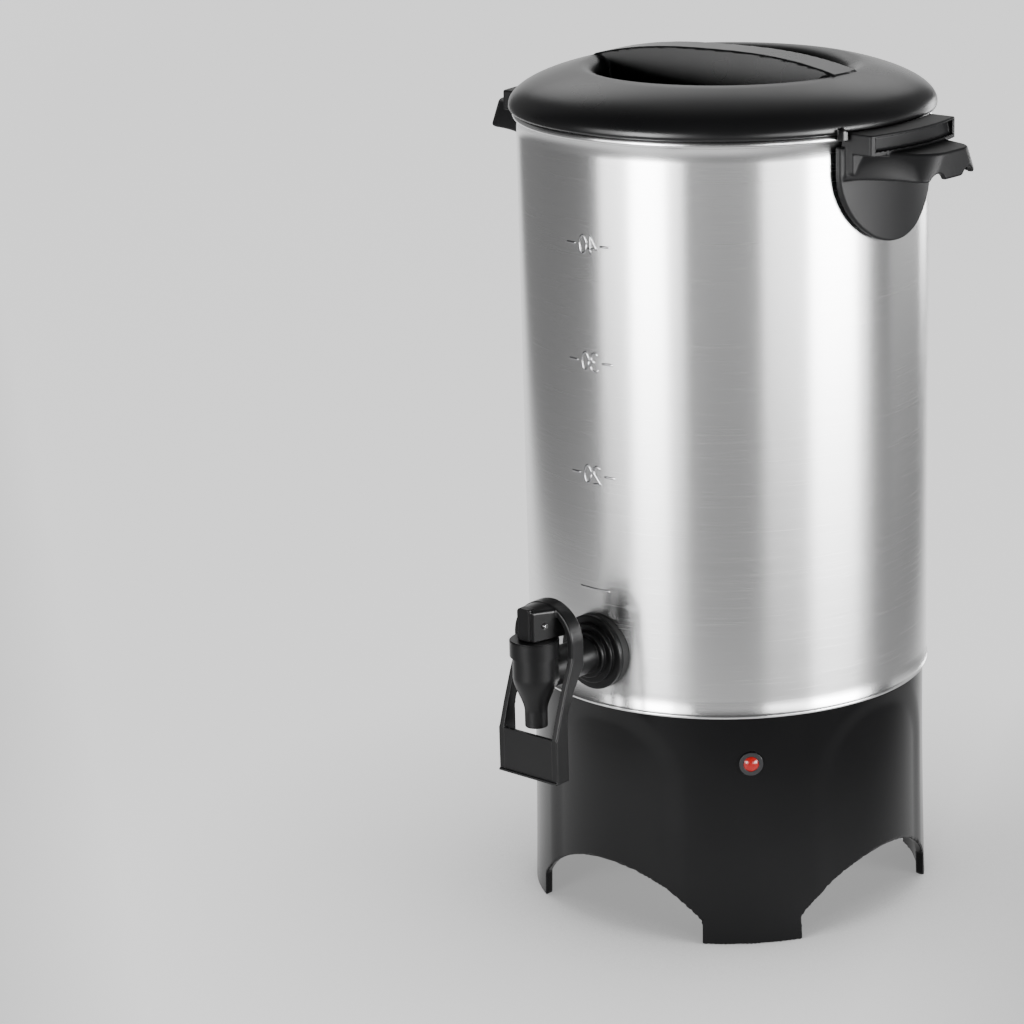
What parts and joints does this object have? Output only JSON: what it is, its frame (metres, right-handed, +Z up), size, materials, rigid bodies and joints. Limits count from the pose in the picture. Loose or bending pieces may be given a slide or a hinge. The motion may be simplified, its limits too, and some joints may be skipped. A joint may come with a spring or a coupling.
{
  "type": "coffee urn",
  "caption": "Percolating coffee urn with a steel tank on a black base with four feet, lever tap, two side handles and a domed lid with finger wells.",
  "frame": {"origin": "on the table, on the axis of the tank", "axes": "+Z up, -Y is where the tap points, +X towards the right handle as seen from the tap"},
  "size_m": [0.26, 0.2477, 0.4033],
  "materials": {
    "steel": "bright brushed stainless steel",
    "base_plastic": "moulded black plastic, glossy",
    "black_plastic": "moulded black plastic, satin",
    "tap_plastic": "moulded black plastic, semi-gloss",
    "lens": "dark red lens",
    "lamp_glass": "clear bulb with orange glow electrodes",
    "plated": "zinc or nickel plated steel",
    "pin_brass": "plated brass",
    "aluminium": "plain aluminium",
    "element_sheath": "dull heat-darkened sheath",
    "ceramic": "ceramic body",
    "silicone": "red silicone",
    "black_rubber": "black rubber",
    "stem_plastic": "white acetal",
    "wire_cover": "red and white sleeved leads"
  },
  "bodies": {
    "urn": {"base_housing": "base_plastic", "base_cover": "black_plastic", "cover_screws": "plated", "light_bezel": "black_plastic", "indicator_lens": "lens", "indicator_lamp": "lamp_glass", "inlet_housing": "black_plastic", "inlet_pins": "pin_brass", "tank": "steel", "tank_studs": "plated", "tank_nuts": "plated", "heat_plate": "aluminium", "heating_element": "element_sheath", "thermostat": "ceramic", "thermostat_strap": "aluminium", "strap_studs": "plated", "strap_nuts": "plated", "thermal_fuse": "ceramic", "wiring": "wire_cover", "right_handle": "black_plastic", "left_handle": "black_plastic", "handle_screws": "plated", "tap_gasket": "black_rubber", "tap_body": "tap_plastic", "tap_inner_gasket": "silicone", "tap_nut": "black_plastic", "tap_bonnet": "tap_plastic"},
    "stem": {"valve_stem": "stem_plastic", "seat_cup": "silicone", "valve_spring": "plated", "lever_pin": "plated"},
    "lever": {"tap_lever": "tap_plastic"},
    "pump": {"pump_tube": "aluminium", "pump_foot": "aluminium"},
    "basket_body": {"basket": "aluminium"},
    "spreader": {"basket_cover": "aluminium"},
    "lid_body": {"lid": "black_plastic"}
  },
  "joints": [
    {"name": "stem_lift", "type": "slide", "parent": "urn", "child": "stem", "axis": [0, 0, 1], "range_m": [0, 0.0019], "stiffness_N_per_m": 100, "springref_m": -0.004, "deforming": ["valve_spring"]},
    {"name": "lever_tilt", "type": "hinge", "parent": "stem", "child": "lever", "pos_m": [0, -0.138, 0.162], "axis": [1, 0, 0], "range_deg": [0, 17]},
    {"name": "pump_lift", "type": "slide", "parent": "urn", "child": "pump", "axis": [0, 0, 1], "range_m": [0, 0.29]},
    {"name": "basket_lift", "type": "slide", "parent": "pump", "child": "basket_body", "axis": [0, 0, 1], "range_m": [0, 0.1]},
    {"name": "cover_lift", "type": "slide", "parent": "basket_body", "child": "spreader", "axis": [0, 0, 1], "range_m": [0, 0.05]},
    {"name": "lid_lift", "type": "slide", "parent": "spreader", "child": "lid_body", "axis": [0, 0, 1], "range_m": [0, 0.1]}
  ],
  "couplings": [
    {"joint": "lever_tilt", "follows": "stem_lift", "rad_per_m": 156.1}
  ]
}
